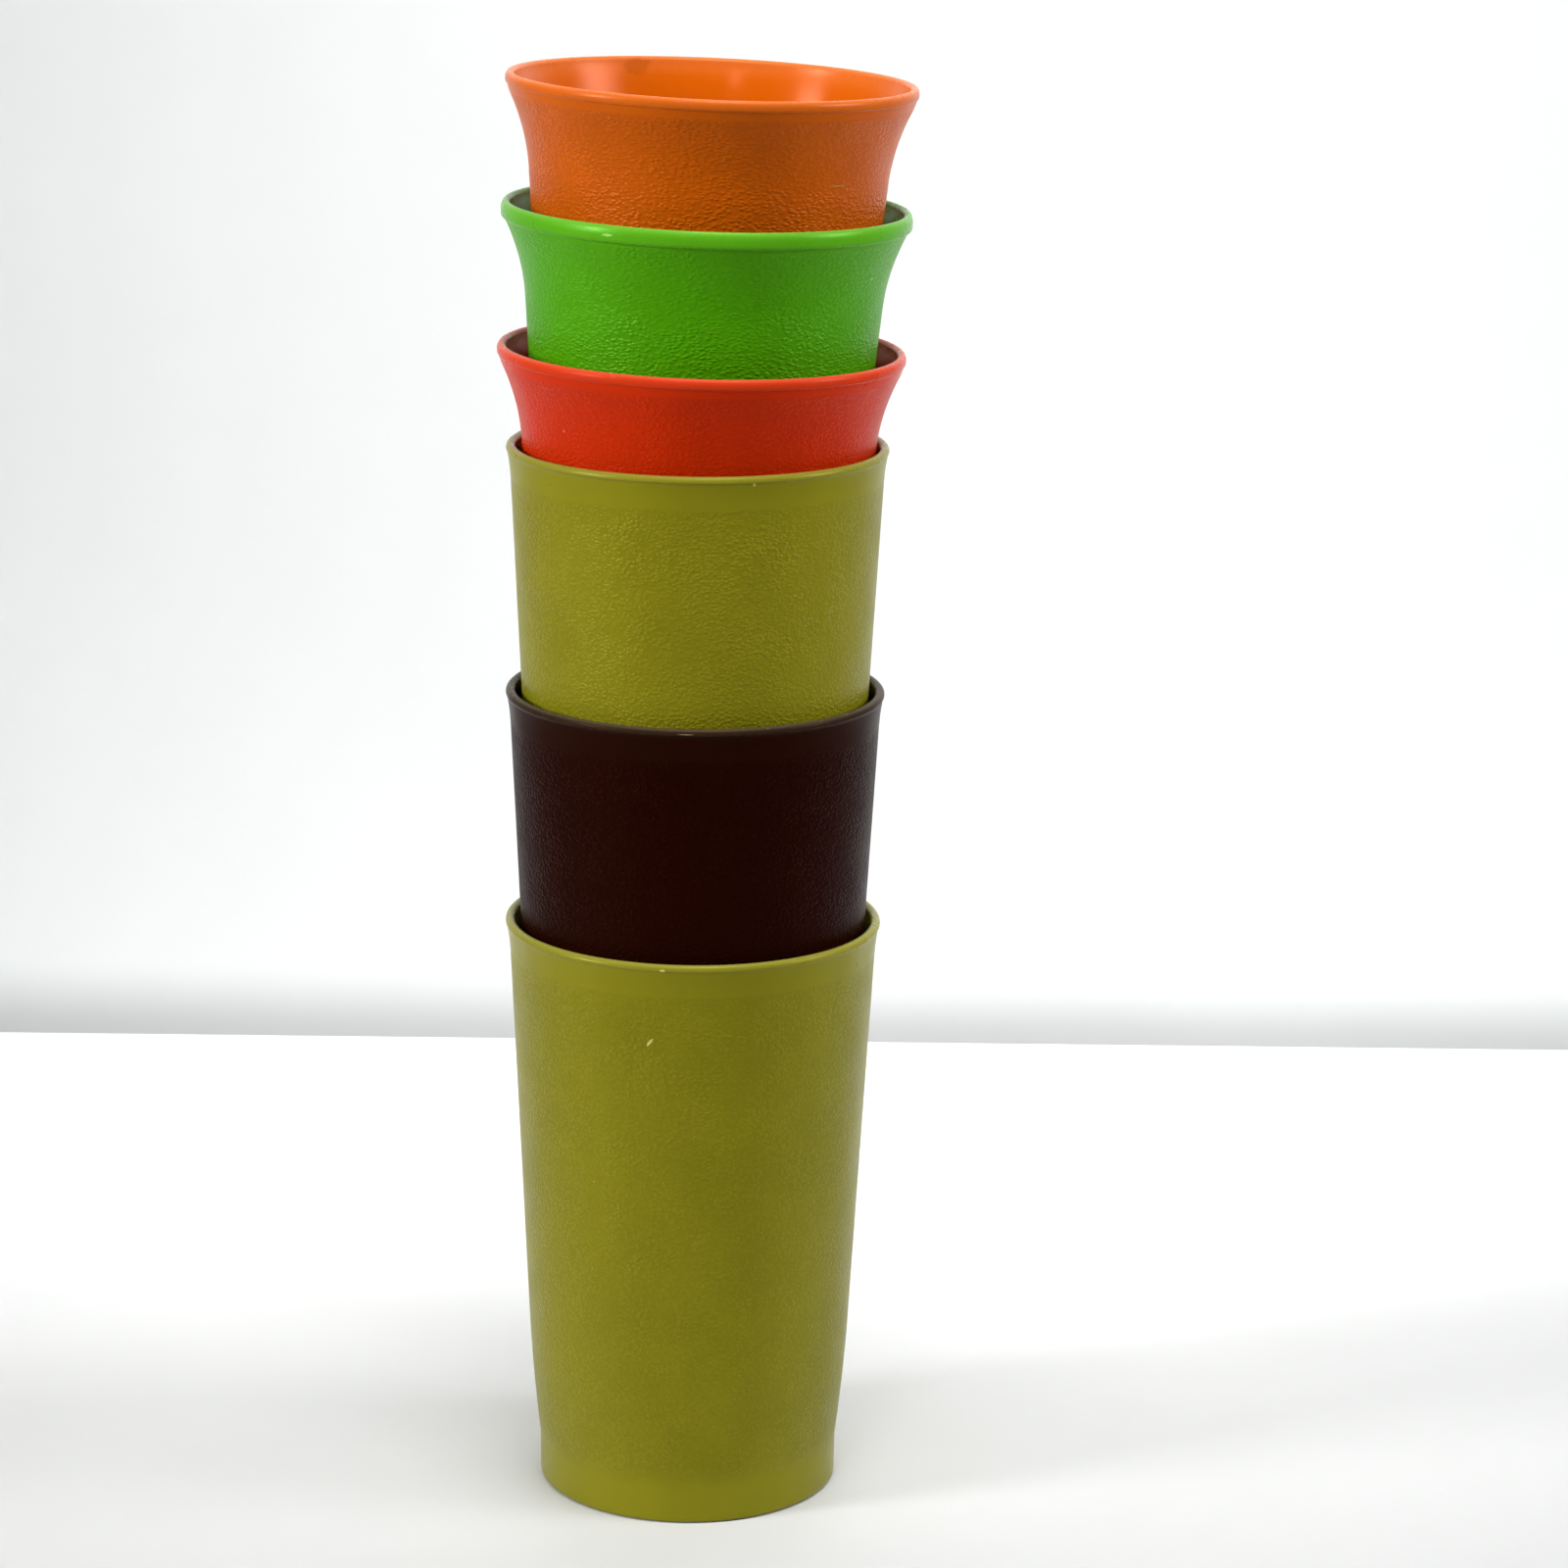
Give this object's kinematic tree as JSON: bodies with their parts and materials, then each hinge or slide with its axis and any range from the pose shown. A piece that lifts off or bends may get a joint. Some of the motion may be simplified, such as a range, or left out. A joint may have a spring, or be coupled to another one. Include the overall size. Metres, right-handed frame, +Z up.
{
  "type": "stacking cup tower",
  "caption": "Tower of nested plastic drinking tumblers, straight-sided ones below and flare-rimmed ones above, which lift out of one another one by one to drink from.",
  "frame": {"origin": "centre of the bottom tumbler's foot, on the surface it stands on", "axes": "+Z up, out of the mouths; +X towards the side that the three flared tumblers lean to; -Y towards the viewer"},
  "size_m": [0.092, 0.0904, 0.3247],
  "materials": {
    "olive_plastic": "satin olive green, fine leather grain outside, smooth inside, rim and foot",
    "brown_plastic": "satin dark brown, fine leather grain outside, smooth inside, rim and foot",
    "red_plastic": "satin red-orange, fine leather grain outside, glossy inside and rim",
    "green_plastic": "satin bright green, fine leather grain outside, glossy inside and rim",
    "orange_plastic": "satin orange, fine leather grain outside, glossy inside and rim"
  },
  "bodies": {
    "bottom_tumbler": {"tumbler_olive_bottom": "olive_plastic"},
    "second_tumbler": {"tumbler_brown": "brown_plastic"},
    "third_tumbler": {"tumbler_olive_upper": "olive_plastic"},
    "fourth_tumbler": {"tumbler_red": "red_plastic"},
    "fifth_tumbler": {"tumbler_green": "green_plastic"},
    "top_tumbler": {"tumbler_orange": "orange_plastic"}
  },
  "joints": [
    {"name": "brown_lift", "type": "slide", "parent": "bottom_tumbler", "child": "second_tumbler", "axis": [0, 0, 1], "range_m": [0, 0.09]},
    {"name": "olive_upper_lift", "type": "slide", "parent": "second_tumbler", "child": "third_tumbler", "axis": [0, 0, 1], "range_m": [0, 0.088]},
    {"name": "red_lift", "type": "slide", "parent": "third_tumbler", "child": "fourth_tumbler", "axis": [0.0199, 0, 0.9998], "range_m": [0, 0.102]},
    {"name": "green_lift", "type": "slide", "parent": "fourth_tumbler", "child": "fifth_tumbler", "axis": [0.0244, 0, 0.9997], "range_m": [0, 0.092]},
    {"name": "orange_lift", "type": "slide", "parent": "fifth_tumbler", "child": "top_tumbler", "axis": [0.0307, 0, 0.9995], "range_m": [0, 0.096]}
  ]
}
